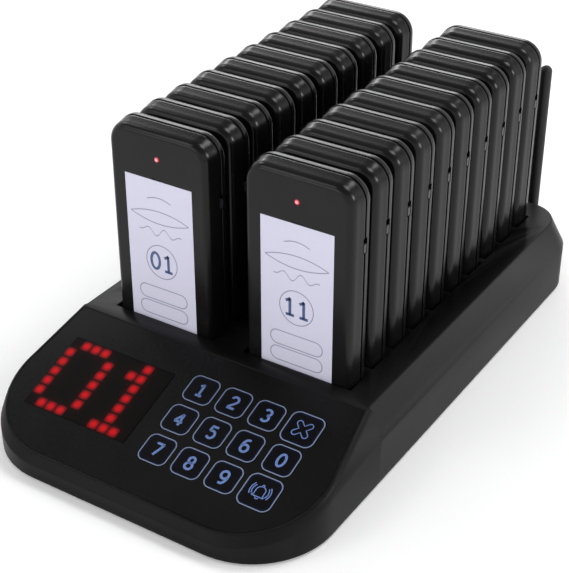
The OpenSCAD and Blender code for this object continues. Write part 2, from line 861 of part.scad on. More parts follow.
module charging_boards() {
    color("#14532d")
    placed()
        for (s = [-1, 1])
            difference() {
                translate([s * row_x - charge_board_w / 2, charge_board_y0, charge_board_top - board_t])
                    cube([charge_board_w, charge_board_y1 - charge_board_y0, board_t]);
                at_hangers(s)
                    translate([0, 0, charge_board_top - board_t - cut])
                        cylinder(d = board_screw_d + 2 * screw_fit + 0.2, h = board_t + 2 * cut);
            }
}

// Spring pins standing on the charging boards, their tips at the pagers' contacts
module charge_pins() {
    color("#c9a227")
    placed()
        for (s = [-1, 1], i = [0:PER_ROW - 1])
            at_pins(s, i)
                translate([0, 0, -well_floor_t - hanger_h]) {
                    cylinder(d = pin_d, h = well_floor_t + hanger_h);
                    cylinder(d = pin_d + 1, h = pin_shoulder_h);
                }
}

module power_jack() {
    color("#1a1a1a")
    placed()
        translate([-jack_x, rear_y, socket_z])
            rotate([90, 0, 0])
                difference() {
                    union() {
                        cylinder(d = jack_bore + 2, h = wall + 1);
                        translate([-jack_body_w / 2, -jack_body_w / 2, wall])
                            cube([jack_body_w, jack_body_w, jack_body_l]);
                    }
                    difference() {
                        translate([0, 0, -cut])
                            cylinder(d = jack_bore, h = 9 + cut);
                        cylinder(d = 2, h = 10);
                    }
                }
}

module switch_body() {
    outer_l = rocker_len + 2 * bezel_rim;
    outer_h = rocker_h + 2 * bezel_rim;
    color("#101010")
    placed()
        translate([-rocker_x, rear_y, socket_z])
            difference() {
                union() {
                    translate([-outer_l / 2 - 1.4, 0, -outer_h / 2 - 1.2])
                        cube([outer_l + 2.8, bezel_t, outer_h + 2.4]);
                    translate([-outer_l / 2 + 0.2, -wall - rocker_body_l + 2, -outer_h / 2 + 0.2])
                        cube([outer_l - 0.4, wall + rocker_body_l - 1.5, outer_h - 0.4]);
                }
                translate([-rocker_len / 2 - rocker_fit, -5.6, -rocker_h / 2 - rocker_fit])
                    cube([rocker_len + 2 * rocker_fit, 5.6 + bezel_t + cut, rocker_h + 2 * rocker_fit]);
                translate([0, -1.4, -rocker_h / 2 - 1.1])
                    cylinder(d = rocker_pin_d + 2 * pivot_fit, h = rocker_h + 2.2);
            }
}

// Rocker with its two pivot stubs. At rest its left end is pressed in.
module power_rocker() {
    tilt = rocker_swing / 2;
    color("#26262a")
    placed()
        translate([-rocker_x, rear_y - 1.4, socket_z])
            rotate([0, 0, tilt]) {
                translate([0, 0, -rocker_h / 2])
                    linear_extrude(rocker_h)
                        polygon([[-rocker_len / 2 + 0.7, -0.8], [-rocker_pin_d, -rocker_back],
                                 [rocker_pin_d, -rocker_back], [rocker_len / 2 - 0.7, -0.8],
                                 [rocker_len / 2 - 0.5, rocker_face + 1], [0, rocker_face],
                                 [-rocker_len / 2 + 0.5, rocker_face + 1]]);
                translate([0, 0, -rocker_h / 2 - 0.9])
                    cylinder(d = rocker_pin_d, h = rocker_h + 1.8);
            }
}

// ---------- antenna ----------

// Threaded bushing through the rear wall, with its nut and a hollow end
module antenna_connector() {
    color("#c9a86a")
    placed()
        translate([antenna_x, rear_y, antenna_z])
            rotate([-90, 0, 0]) {
                difference() {
                    translate([0, 0, -wall - 4])
                        cylinder(d = bushing_d, h = wall + 4 + bushing_nut_t);
                    translate([0, 0, -wall - 4 - cut])
                        cylinder(d = connector_pin_d + 2 * pivot_fit, h = wall + 5 + bushing_nut_t + cut);
                }
                difference() {
                    cylinder(d = bushing_nut_af / cos(30), h = bushing_nut_t, $fn = 6);
                    translate([0, 0, -cut])
                        cylinder(d = bushing_d, h = bushing_nut_t + 2 * cut);
                }
                translate([0, 0, -wall - 1.2])
                    difference() {
                        cylinder(d = bushing_d + 3, h = 1.2);
                        translate([0, 0, -cut])
                            cylinder(d = bushing_d, h = 1.2 + 2 * cut);
                    }
            }
}

// Swivelling knuckle: a stub in the connector and a fork that holds the rod
module antenna_knuckle() {
    fork_len = rear_y + antenna_out - knuckle_y0;
    color("#1a1a1a")
    placed()
        translate([antenna_x, knuckle_y0, antenna_z])
            difference() {
                union() {
                    rotate([-90, 0, 0])
                        cylinder(d = knuckle_d, h = fork_len);
                    translate([-knuckle_r, fork_len, 0])
                        rotate([0, 90, 0])
                            cylinder(d = knuckle_d, h = knuckle_d);
                    rotate([90, 0, 0])
                        cylinder(d = connector_pin_d, h = bushing_nut_t + wall + 3);
                }
                translate([-fork_gap / 2, fork_len - knuckle_r - 0.3, -knuckle_r - cut])
                    cube([fork_gap, knuckle_d + cut, knuckle_d + 2 * cut]);
                translate([-knuckle_r - cut, fork_len, 0])
                    rotate([0, 90, 0])
                        cylinder(d = tilt_pin_d + 2 * pivot_fit, h = knuckle_d + 2 * cut);
            }
}

// Whip with a domed tip, a tongue in the fork and its hinge pin
module antenna_rod() {
    rod_l = antenna_top - antenna_z - antenna_d / 2;
    color("#141414")
    placed()
        translate([antenna_x, rear_y + antenna_out, antenna_z]) {
            translate([0, 0, knuckle_r + 0.4])
                cylinder(d = antenna_d, h = rod_l - knuckle_r - 0.4);
            translate([0, 0, rod_l])
                sphere(d = antenna_d);
            intersection() {
                translate([-tongue_t / 2, -antenna_d / 2, -antenna_d / 2])
                    cube([tongue_t, antenna_d, antenna_d / 2 + knuckle_r + 1]);
                union() {
                    rotate([0, 90, 0])
                        cylinder(d = antenna_d, h = knuckle_d, center = true);
                    translate([-knuckle_r, -antenna_d / 2 + 0.01, 0])
                        cube([knuckle_d, antenna_d - 0.02, knuckle_r + 2]);
                }
            }
            rotate([0, 90, 0])
                cylinder(d = tilt_pin_d, h = knuckle_d - 0.4, center = true);
        }
}

// ---------- pagers ----------
// A pager's own frame: x = 0 in its middle, y = 0 on its front face, z = 0 under its foot

module at_pager(n) {
    s = n <= PER_ROW ? -1 : 1;
    i = (n - 1) % PER_ROW;
    placed()
        at_slot(s, i)
            translate([0, 0, seat_gap])
                children();
}

module switch_cutout() {
    translate([pager_w / 2 - 2 * shell, seam_y + (seam_groove - switch_gap) / 2,
               pager_h - switch_drop - switch_len / 2])
        cube([2 * shell + cut, switch_gap, switch_len]);
}

// Front half of the case, with the label's seat, the lamp's hole and a thumb notch
module front_shell() {
    difference() {
        translate([0, 0, pager_h / 2])
            difference() {
                rounded_case(pager_w, pager_h, pager_r, seam_y, border_w, border_d);
                translate([0, shell, 0])
                    upright_plate(pager_w - 2 * face_wall, pager_h - 2 * face_wall,
                                  pager_r - shell, border_d);
                translate([0, border_d, 0])
                    upright_plate(pager_w - 2 * shell, pager_h - 2 * shell, pager_r - shell, seam_y);
            }
        translate([-label_w / 2 - 0.1, -cut, label_bottom - 0.1])
            cube([label_w + 0.2, cut + label_t + lie, label_h + 0.2]);
        translate([0, -cut, pager_h - label_drop - 1.6])
            rotate([-90, 0, 0])
                cylinder(r = notch_r, h = cut + 0.5);
        translate([0, -cut, pager_h - lamp_drop])
            rotate([-90, 0, 0])
                cylinder(d = lamp_d + 0.1, h = shell + 2 * cut);
        switch_cutout();
        contact_seats();
    }
}

// Back half, with a lip that reaches into the front half
module back_shell() {
    back_t = pager_t - seam_y - seam_groove;
    hollow_t = pager_t - seam_y + lip_t + cut - shell + 0.2;
    lip_w = pager_w - 2 * shell - 0.2;
    lip_h = pager_h - 2 * shell - 0.2;
    lip_r = pager_r - shell - 0.1;
    difference() {
        translate([0, 0, pager_h / 2])
            difference() {
                union() {
                    translate([0, pager_t, 0])
                        mirror([0, 1, 0])
                            rounded_case(pager_w, pager_h, pager_r, back_t, back_round, back_round);
                    translate([0, seam_y - lip_t, 0])
                        upright_plate(lip_w, lip_h, lip_r, seam_groove + lip_t + 0.1);
                }
                translate([0, seam_y - lip_t - cut, 0])
                    upright_plate(lip_w - 2 * lip_t, lip_h - 2 * lip_t, lip_r - lip_t, hollow_t);
            }
        switch_cutout();
        contact_seats();
    }
}

module pager_label() {
    translate([-label_w / 2, 0, label_bottom])
        cube([label_w, label_t, label_h]);
}

module pager_lamp() {
    translate([0, 0, pager_h - lamp_drop])
        rotate([-90, 0, 0]) {
            cylinder(d = lamp_d, h = shell + 0.4);
            translate([0, 0, shell + 0.1])
                cylinder(d = lamp_d + 1, h = pager_board_y - shell - 0.1 - lie);
        }
}

module pager_board() {
    board_w = pager_w - 2 * shell - 2 * board_inset;
    translate([-board_w / 2, pager_board_y, shell + board_inset])
        cube([board_w, pager_board_t, pager_h - 2 * shell - 2 * board_inset]);
    translate([-contact_span / 2, pager_board_back, shell + board_inset + chip_w])
        cube([chip_w, chip_t, chip_w]);
    translate([contact_span / 2 - chip_w / 2, pager_board_back, shell + board_inset + chip_w])
        cube([chip_w / 2, chip_t, chip_w / 2]);
}

module pager_battery() {
    translate([-battery_w / 2, pager_board_back + lie, battery_z])
        cube([battery_w, battery_t, battery_l]);
}

// Coin motor that makes the pager buzz
module pager_motor() {
    translate([-motor_x, pager_board_back + lie, pager_h - motor_drop])
        rotate([-90, 0, 0])
            cylinder(d = motor_d, h = motor_t);
}

// Thumb slide of the side switch, in its opening on the seam
module pager_switch() {
    slider_len = switch_len - switch_travel - 0.6;
    translate([pager_w / 2 - 4.4, seam_y + seam_groove / 2 - switch_gap / 2 + 0.3,
               pager_h - switch_drop - switch_len / 2 + 0.3])
        cube([4.3, switch_gap - 0.6, slider_len]);
}

// Two charging contacts let into the foot
module pager_contacts() {
    for (x = [-1, 1])
        translate([x * contact_span / 2 - contact_l / 2, (pager_t - contact_w) / 2, 0])
            cube([contact_l, contact_w, contact_t]);
}

module contact_seats() {
    for (x = [-1, 1])
        translate([x * contact_span / 2 - contact_l / 2 - lie, (pager_t - contact_w) / 2 - lie, -cut])
            cube([contact_l + 2 * lie, contact_w + 2 * lie, contact_t + lie + cut]);
}

module pager(n) {
    at_pager(n) {
        color("#1b1b1d")
            front_shell();
        color("#161618")
            back_shell();
        color("#e1deeb")
            pager_label();
        color("#c01818")
            pager_lamp();
        color("#14532d")
            pager_board();
        color("#b8b8c0")
            pager_battery();
        color("silver")
            pager_motor();
        color("#303034")
            pager_switch();
        color("#c9a227")
            pager_contacts();
    }
}

// ---------- what is drawn ----------

top_cover();
bottom_cover();
control_panel();
display_window();
led_matrix();
keypad_board();
key_switches();
main_board();
charging_boards();
charge_pins();
buzzer();
power_jack();
switch_body();
power_rocker();
antenna_connector();
antenna_knuckle();
antenna_rod();
rubber_feet();
case_screws();
board_screws();
for (i = [0:len(KEYS) - 1])
    key(i);
at_pager(1) color("#1b1b1d") front_shell();  // pager_01_front_shell
at_pager(1) color("#161618") back_shell();  // pager_01_back_shell
at_pager(1) color("#e1deeb") pager_label();  // pager_01_label
at_pager(1) color("#c01818") pager_lamp();  // pager_01_lamp
at_pager(1) color("#14532d") pager_board();  // pager_01_board
at_pager(1) color("#b8b8c0") pager_battery();  // pager_01_battery
at_pager(1) color("silver") pager_motor();  // pager_01_motor
at_pager(1) color("#303034") pager_switch();  // pager_01_switch
at_pager(1) color("#c9a227") pager_contacts();  // pager_01_contacts
for (n = [2:2 * PER_ROW])
    pager(n);
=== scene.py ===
import json
import math

import bmesh
import bpy
import numpy as np
from mathutils import Matrix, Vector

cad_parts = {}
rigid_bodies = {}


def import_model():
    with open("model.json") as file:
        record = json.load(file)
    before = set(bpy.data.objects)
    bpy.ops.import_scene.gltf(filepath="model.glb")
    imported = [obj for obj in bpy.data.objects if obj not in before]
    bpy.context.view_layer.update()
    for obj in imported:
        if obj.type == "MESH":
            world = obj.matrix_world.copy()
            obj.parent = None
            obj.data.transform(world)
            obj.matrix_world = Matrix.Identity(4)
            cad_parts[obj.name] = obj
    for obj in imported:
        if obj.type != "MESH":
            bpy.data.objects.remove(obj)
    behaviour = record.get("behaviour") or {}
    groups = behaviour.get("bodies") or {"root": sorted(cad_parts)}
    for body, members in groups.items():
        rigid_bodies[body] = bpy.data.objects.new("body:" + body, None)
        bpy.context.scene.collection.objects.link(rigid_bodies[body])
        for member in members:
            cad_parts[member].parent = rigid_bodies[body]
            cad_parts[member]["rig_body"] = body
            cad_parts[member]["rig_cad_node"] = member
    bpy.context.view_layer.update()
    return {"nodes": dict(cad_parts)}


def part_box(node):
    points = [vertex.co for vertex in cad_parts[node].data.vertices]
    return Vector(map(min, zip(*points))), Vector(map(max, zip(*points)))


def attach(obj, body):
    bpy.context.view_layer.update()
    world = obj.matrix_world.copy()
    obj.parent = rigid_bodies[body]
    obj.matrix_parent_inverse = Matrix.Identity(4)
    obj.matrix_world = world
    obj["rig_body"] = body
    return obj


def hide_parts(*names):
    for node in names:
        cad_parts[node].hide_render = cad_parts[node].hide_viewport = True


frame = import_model()

# ---------- table, camera and light ----------
# The base stands on a pale table under soft daylight. The camera looks down on it from the
# front right, over the keypad and along the two rows of pagers.

MM = 0.001
BLACK = (0.0, 0.0, 0.0, 1.0)
EYE = np.array([0.27741, -0.45223, 0.35767])
TURN, DIP = -0.569047, 0.551675
PICTURE = (569, 573)
FOCAL_PX, SENSOR_MM = 1411.36, 36
TABLE_HALF, TABLE_GLOW = 6.0, 0.15
SKY_TOP, SKY_RIM = 0.3, 1.0


class Wire:
    """One output of a material's node tree. Arithmetic on it adds Math nodes to the tree."""

    def __init__(self, tree, socket=None):
        self.tree, self.socket = tree, socket

    def node(self, kind, inputs=None, out=0, **settings):
        """One output of a new node, with its settings and its sockets' values or links."""
        made = self.tree.nodes.new("ShaderNode" + kind)
        for key, value in settings.items():
            setattr(made, key, value)
        for key, value in (inputs or {}).items():
            if isinstance(value, Wire):
                self.tree.links.new(value.socket, made.inputs[key])
            else:
                made.inputs[key].default_value = value
        return Wire(self.tree, made.outputs[out])

    def math(self, operation, *others):
        values = dict(enumerate((self,) + others))
        return self.node("Math", values, operation=operation)

    def __add__(self, other):
        return self.math("ADD", other)

    __radd__ = __add__

    def __mul__(self, other):
        return self.math("MULTIPLY", other)

    __rmul__ = __mul__

    def __sub__(self, other):
        return self.math("SUBTRACT", other)

    def __rsub__(self, other):
        return self.node("Math", {0: other, 1: self}, operation="SUBTRACT")

    def __abs__(self):
        return self.math("ABSOLUTE")

    def at_least(self, other):
        return self.math("MAXIMUM", other)

    def at_most(self, other):
        return self.math("MINIMUM", other)

    def fade(self, start, end):
        """Goes softly from 0 at start to 1 at end, which may lie on either side of start."""
        return self.node("MapRange", {"Value": self, "From Min": start, "From Max": end},
                         interpolation_type="SMOOTHSTEP")

    def blend(self, first, second):
        """Colour that goes from first to second as this value goes from 0 to 1."""
        return self.node("Mix", {0: self, 6: first, 7: second}, out=2, data_type="RGBA")


def colour(red, green, blue):
    """Linear colour with alpha from display values of 0 to 255."""
    share = np.array([red, green, blue]) / 255
    linear = np.where(share <= 0.04045, share / 12.92, ((share + 0.055) / 1.055) ** 2.4)
    return (*map(float, linear), 1.0)


def surface(name, base, roughness, metallic=0.0, specular=0.5):
    """Material with plain numbers on its shader, and the wire and shader for its patterns."""
    material = bpy.data.materials.new(name)
    material.use_nodes = True
    shader = material.node_tree.nodes["Principled BSDF"]
    shader.inputs["Base Color"].default_value = base
    shader.inputs["Roughness"].default_value = roughness
    shader.inputs["Metallic"].default_value = metallic
    shader.inputs["Specular IOR Level"].default_value = specular
    return material, Wire(material.node_tree), shader


def plug(wire, shader, socket):
    """Links a wire to one of a shader's sockets."""
    wire.tree.links.new(wire.socket, shader.inputs[socket])


def stood(across, up, back, place):
    """Matrix that turns the axes to across, up and back and moves the origin to a place."""
    matrix = np.eye(4)
    matrix[:3] = np.stack([across, up, back, place], axis=-1)
    return Matrix(matrix.tolist())


camera = bpy.data.objects.new("camera", bpy.data.cameras.new("camera"))
bpy.context.scene.collection.objects.link(camera)
ahead = np.array([math.sin(TURN) * math.cos(DIP), math.cos(TURN) * math.cos(DIP),
                  -math.sin(DIP)])
across = np.array([math.cos(TURN), -math.sin(TURN), 0.0])
camera.matrix_world = stood(across, np.cross(across, ahead), -ahead, EYE)
camera.data.lens = FOCAL_PX * SENSOR_MM / max(PICTURE)
camera.data.sensor_width = SENSOR_MM
camera.data.clip_start = 0.01
bpy.context.scene.camera = camera
bpy.context.scene.view_settings.view_transform = "Standard"

# The table's glow is there for the eye and in reflections only, so that it lights nothing.
table_white, wire, shader = surface("table_white", colour(250, 250, 250), 0.9, specular=0.1)
cloud = wire.node("TexNoise", {"Vector": wire.node("TexCoord", out=3), "Scale": 3.0})
plug(cloud.blend(colour(251, 251, 251), colour(249, 249, 250)), shader, "Base Color")
camera_ray, glossy_ray, clear_ray = [wire.node("LightPath", out=ray) for ray in (0, 3, 6)]
seen = camera_ray.at_least(glossy_ray).at_least(clear_ray)
plug(seen.blend(BLACK, (TABLE_GLOW, TABLE_GLOW, TABLE_GLOW, 1.0)), shader, "Emission Color")
shader.inputs["Emission Strength"].default_value = 1.0
table_mesh = bpy.data.meshes.new("table")
table_mesh.from_pydata([(-TABLE_HALF, -TABLE_HALF, 0), (TABLE_HALF, -TABLE_HALF, 0),
                        (TABLE_HALF, TABLE_HALF, 0), (-TABLE_HALF, TABLE_HALF, 0)], [],
                       [(0, 1, 2, 3)])
table_mesh.materials.append(table_white)
table = bpy.data.objects.new("table", table_mesh)
bpy.context.scene.collection.objects.link(table)

world = bpy.data.worlds.new("daylight")
bpy.context.scene.world = world
world.use_nodes = True
background = world.node_tree.nodes["Background"]
background.inputs["Color"].default_value = (1, 1, 1, 1)
sky = Wire(world.node_tree)
rise = sky.node("SeparateXYZ", {0: sky.node("TexCoord", out=0)}, out=2)
plug(rise.fade(0.8, 0.35) * (SKY_RIM - SKY_TOP) + SKY_TOP, background, "Strength")


def softbox(name, place, aim, size, power):
    """Oblong area lamp at place that points at aim: its size in metres, its power in watts."""
    lamp = bpy.data.lights.new(name, "AREA")
    lamp.shape, lamp.energy = "RECTANGLE", power
    lamp.size, lamp.size_y = size
    box = bpy.data.objects.new(name, lamp)
    bpy.context.scene.collection.objects.link(box)
    back = np.array(place, float) - np.array(aim, float)
    back /= np.linalg.norm(back)
    side = np.cross([0.0, 0.0, 1.0], back)
    side /= np.linalg.norm(side)
    box.matrix_world = stood(side, np.cross(back, side), back, place)


softbox("rear_box", (-1.06, 1.7, 0.9), (0, 0, 0.12), (1.3, 0.36), 8.0)
softbox("overhead_box", (0.6, 0.75, 1.75), (0, 0, 0.06), (0.7, 0.7), 11.0)
softbox("side_box", (1.9, 0.5, 0.9), (0, 0, 0.06), (0.5, 0.5), 11.0)
softbox("front_box", (-0.9, -2.2, 1.0), (0, 0, 0.06), (1.6, 1.0), 7.5)
softbox("left_box", (-1.4, 0.5, 1.36), (-0.07, -0.08, 0.03), (0.4, 0.4), 3.0)
softbox("fill_box", (-0.92, -0.9, 1.6), (0, 0, 0.12), (0.7, 0.7), 4.0)


# ---------- housing ----------
# The top cover and the flat bottom cover are moulded in black ABS with a fine satin grain.
# Six rubber feet sit in round seats, and steel screws close the case from below.

SLOW_SCALE, GRAIN_SHARE, RELIEF_MM = 22.0, 0.04, 0.1
MARK_SHARE = 0.18


def moulded(name, base, roughness, grain_mm=0.35, depth=0.05, drift=0.06, edge_mm=0.0, **more):
    """Moulded plastic: satin grain in the bump, slow changes in colour and roughness, and, with
    edge_mm, edges that catch the light as if broken by that radius."""
    material, wire, shader = surface(name, base, roughness, **more)
    place = wire.node("TexCoord", out=3)
    grain = wire.node("TexNoise", {"Vector": place, "Scale": 1000 / grain_mm, "Detail": 2.0})
    slow = wire.node("TexNoise", {"Vector": place, "Scale": SLOW_SCALE, "Detail": 3.0})
    lighter = [min(1.0, c * 1.35 + 0.002) for c in base[:3]] + [1.0]
    plug(slow.fade(0.3, 0.75).blend(base, lighter), shader, "Base Color")
    plug(slow.fade(0.25, 0.8) * drift + grain * GRAIN_SHARE
         + (roughness - drift / 2 - GRAIN_SHARE / 2), shader, "Roughness")
    relief = {"Height": grain, "Strength": depth, "Distance": RELIEF_MM * MM}
    if edge_mm:
        relief["Normal"] = wire.node("Bevel", {"Radius": edge_mm * MM}, samples=6)
    plug(wire.node("Bump", relief), shader, "Normal")
    return material


def brushed(name, base, roughness, grain_mm=0.2):
    """Plain metal with fine turning marks in its roughness and colour."""
    material, wire, shader = surface(name, base, roughness, metallic=1.0)
    place = wire.node("TexCoord", out=3)
    marks = wire.node("TexNoise", {"Vector": place, "Scale": 1000 / grain_mm, "Detail": 3.0})
    plug(marks * MARK_SHARE + (roughness - MARK_SHARE / 2), shader, "Roughness")
    darker = [c * 0.82 for c in base[:3]] + [1.0]
    plug(marks.fade(0.35, 0.7).blend(darker, base), shader, "Base Color")
    return material


def dress(material, *names):
    """Gives CAD nodes that stay their finish."""
    for name in names:
        shown = frame["nodes"][name]
        for place in shown.material_slots:
            place.material = material


def smoothed(node, material, body, crease):
    """Copy of a CAD node with its doubles merged, so that flats under crease degrees shade as
    one surface."""
    made = frame["nodes"][node].copy()
    made.data = made.data.copy()
    made.name = made.data.name = node + "_shell"
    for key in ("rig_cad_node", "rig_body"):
        del made[key]
    made.parent = None
    bpy.context.scene.collection.objects.link(made)
    mesh = bmesh.new()
    mesh.from_mesh(made.data)
    bmesh.ops.remove_doubles(mesh, verts=mesh.verts, dist=1e-7)
    mesh.to_mesh(made.data)
    mesh.free()
    made.data.materials.clear()
    made.data.materials.append(material)
    made.data.shade_smooth()
    made.data.set_sharp_from_angle(angle=math.radians(crease))
    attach(made, body)
    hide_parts(node)


housing_black = moulded("housing_black", colour(12, 12, 13), 0.4, edge_mm=1.2, specular=0.11)
smoothed("top_cover", housing_black, "housing", 24)
dress(moulded("cover_black", colour(20, 20, 21), 0.5, depth=0.12, specular=0.25), "bottom_cover")
dress(moulded("foot_rubber", colour(24, 24, 24), 0.85, grain_mm=0.6, depth=0.3), "rubber_feet")
dress(brushed("screw_steel", colour(176, 178, 182), 0.34), "case_screws", "board_screws")


# ---------- electronics inside ----------
# Green glass-fibre boards carry the processor, the radio module, the buzzer and forty gold
# spring pins. They show only when a pager or the bottom cover is out.

circuit_green, wire, shader = surface("circuit_green", colour(20, 83, 45), 0.35)
tracks = wire.node("TexBrick", {"Vector": wire.node("TexCoord", out=3), "Scale": 160.0,
                                "Color1": colour(18, 78, 42), "Color2": colour(24, 92, 50),
                                "Mortar": colour(34, 110, 62), "Mortar Size": 0.03})
plug(tracks, shader, "Base Color")
dress(circuit_green, "keypad_board", "main_board", "charging_boards", "pager_01_board")
component_black = moulded("component_black", colour(26, 26, 27), 0.48, grain_mm=0.25)
dress(component_black, "key_switches", "buzzer")
contact_gold = brushed("contact_gold", colour(214, 170, 74), 0.28)
dress(contact_gold, "charge_pins", "pager_01_contacts")
dress(brushed("battery_foil", colour(190, 192, 198), 0.4, grain_mm=0.6),
      "pager_01_battery", "pager_01_motor")


# ---------- control panel and display ----------
# A glossy black panel is let into the sloping front. At its left a smoked window covers two
# dot-matrix modules, five dots wide and seven high, that show the number called last.

SLOPE = math.radians(18.6)
RIDGE_Y, DECK_Z = -68.775 * MM, 34.4 * MM
FILM, INK = (0.01, 0.04), (0.04, 0.07)
WINDOW_LOW, WINDOW_HIGH = np.array([-61.5, -52.7]), np.array([-10.5, -15.8])
FILM_STEP, GLOW_SPREAD, GLOW_SHARE = 0.6, 3.1, 0.8
DOT, DOT_R, COLUMN, ROW = 4.65, 1.0, 4.93, 5.27
DIGIT_LEFT, TOP_ROW = {"0": -59.25, "1": -32.3}, 18.4
DIGIT_DOTS = {"0": [".###.", "#...#", "#...#", "#...#", "#...#", "#...#", ".###."],
              "1": ["..#..", ".##..", "..#..", "..#..", "..#..", "..#..", ".###."]}

dress(moulded("panel_gloss", colour(9, 9, 9), 0.28, grain_mm=2.0, depth=0.01, drift=0.03,
              specular=0.14), "control_panel")
dress(moulded("window_smoke", colour(12, 8, 8), 0.22, grain_mm=3.0, depth=0.01, drift=0.02,
              specular=0.12), "display_window")
dress(moulded("display_module", colour(52, 16, 16), 0.5), "led_matrix")


def on_slope(points):
    """Places (x, y up the slope, z out of the panel) in millimetres from the ridge into metres."""
    x, y, z = np.asarray(points, float).T * MM
    return np.stack([x, RIDGE_Y + y * math.cos(SLOPE) - z * math.sin(SLOPE),
                     DECK_Z + y * math.sin(SLOPE) + z * math.cos(SLOPE)], axis=-1)


def piece(name, points, faces, materials, body, which=None, sharp=30.0, place=None):
    """Mesh object from whole arrays of points and faces that rides on a body. which gives each
    face's material, and place each point's attribute for the prints."""
    mesh = bpy.data.meshes.new(name)
    mesh.from_pydata(np.asarray(points, float).tolist(), [], faces)
    for material in materials:
        mesh.materials.append(material)
    if which is not None:
        mesh.polygons.foreach_set("material_index", np.asarray(which, np.int32))
    if place is not None:
        mesh.attributes.new("place", "FLOAT_VECTOR", "POINT").data.foreach_set(
            "vector", np.asarray(place, np.float32).ravel())
    mesh.shade_smooth()
    mesh.set_sharp_from_angle(angle=math.radians(sharp))
    mesh.update()
    made = bpy.data.objects.new(name, mesh)
    bpy.context.scene.collection.objects.link(made)
    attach(made, body)
    return made


def placed(wire):
    """The place attribute, and its x, y and z."""
    place = wire.node("Attribute", out=1, attribute_name="place")
    return (place, *[wire.node("SeparateXYZ", {0: place}, out=k) for k in range(3)])


def far(x, y):
    """Distance from the origin."""
    return (x * x + y * y).math("SQRT")


def rounded(width, height, radius, inset=0.0, steps=8):
    """Outline of a rounded rectangle as (n, 2), counter-clockwise from its lower right corner."""
    angle = (np.radians(np.linspace(-90, 0, steps + 1))[None, :]
             + np.radians([0, 90, 180, 270])[:, None])
    centre = (np.array([[1, -1], [1, 1], [-1, 1], [-1, -1]])
              * np.array([width / 2 - radius, height / 2 - radius]))
    reach = max(radius - inset, 0.0)
    arcs = centre[:, None, :] + reach * np.stack([np.cos(angle), np.sin(angle)], -1)
    return arcs.reshape(-1, 2)


def pad(outline, low, high):
    """Closed flat solid over an outline (n, 2): points (2n, 3) and faces, from z = low to high."""
    n = len(outline)
    points = np.concatenate([np.c_[outline, np.full(n, low)], np.c_[outline, np.full(n, high)]])
    faces = [list(range(n))[::-1], list(range(n, 2 * n))]
    faces += [(k, (k + 1) % n, n + (k + 1) % n, n + k) for k in range(n)]
    return points, faces


def together(parts):
    """One mesh from (points, faces, material index) parts."""
    points, faces, which, base = [], [], [], 0
    for some, its, index in parts:
        points.append(some)
        faces += [[base + k for k in face] for face in its]
        which += [index] * len(its)
        base += len(some)
    return np.concatenate(points), faces, which


def smoke_film(low, high, centres):
    """Film over the window: a flat grid, closed below. Each point's glow is the sum of
    exp(-(distance to a dot / GLOW_SPREAD) squared) over all dots."""
    x, y = np.meshgrid(np.arange(low[0], high[0] + FILM_STEP / 2, FILM_STEP),
                       np.arange(low[1], high[1] + FILM_STEP / 2, FILM_STEP))
    top = np.stack([x, y, np.full_like(x, FILM[1])], -1).reshape(-1, 3)
    index = np.arange(x.size).reshape(x.shape)
    cells = np.stack([index[:-1, :-1], index[:-1, 1:], index[1:, 1:], index[1:, :-1]], -1)
    loop = np.concatenate([index[0, :-1], index[:-1, -1], index[-1, :0:-1], index[:0:-1, 0]])
    base = x.size + np.arange(len(loop))
    sides = np.stack([base, np.roll(base, -1), np.roll(loop, -1), loop], -1)
    faces = cells.reshape(-1, 4).tolist() + sides.tolist() + [base[::-1].tolist()]
    points = np.concatenate([top, top[loop] - [0, 0, FILM[1] - FILM[0]]])
    away = np.linalg.norm(points[:, None, :2] - centres[None], axis=-1)
    glow = np.exp(-(away / GLOW_SPREAD) ** 2).sum(1)
    return points, faces, np.c_[points[:, :2], glow]


smoke = colour(13, 11, 10)
window_film, wire, shader = surface("window_film", smoke, 0.3, specular=0.06)
_, x, y, glow = placed(wire)
middle, half = (WINDOW_LOW + WINDOW_HIGH) / 2, (WINDOW_HIGH - WINDOW_LOW) / 2
from_side = float(half[0]) - abs(x - float(middle[0]))
from_end = float(half[1]) - abs(y - float(middle[1]))
plug(from_side.at_most(from_end).fade(0.7, 0.3).blend(smoke, colour(3, 3, 3)), shader,
     "Base Color")
plug((glow * GLOW_SHARE).blend(BLACK, colour(40, 2, 3)), shader, "Emission Color")
shader.inputs["Emission Strength"].default_value = 1.0
centres = np.array([(DIGIT_LEFT[digit] + c * COLUMN, -TOP_ROW - r * ROW)
                    for digit, rows in DIGIT_DOTS.items()
                    for r, row in enumerate(rows) for c, mark in enumerate(row) if mark == "#"])
points, faces, place = smoke_film(WINDOW_LOW, WINDOW_HIGH, centres)
piece("display_film", on_slope(points), faces, [window_film], "housing",
      place=place)

display_red, wire, shader = surface("display_red", colour(40, 3, 5), 0.4, specular=0.1)
_, x, y, _ = placed(wire)
plug(far(x, y).fade(2.5, 0.6).blend(colour(90, 2, 6), colour(202, 10, 20)), shader,
     "Emission Color")
shader.inputs["Emission Strength"].default_value = 0.9
shape, its = pad(rounded(DOT, DOT, DOT_R, steps=5), *INK)
points, faces, which = together([(np.c_[shape[:, :2] + centre, shape[:, 2]], its, 0)
                                 for centre in centres])
piece("display_dots", on_slope(points), faces, [display_red], "housing", which,
      place=np.tile(shape, (len(centres), 1)))


# ---------- keys ----------
# Twelve flat caps, flush with the panel. Each is printed with a pale blue outline that has a
# navy glow, and with its digit, a cross to cancel or a bell to call.

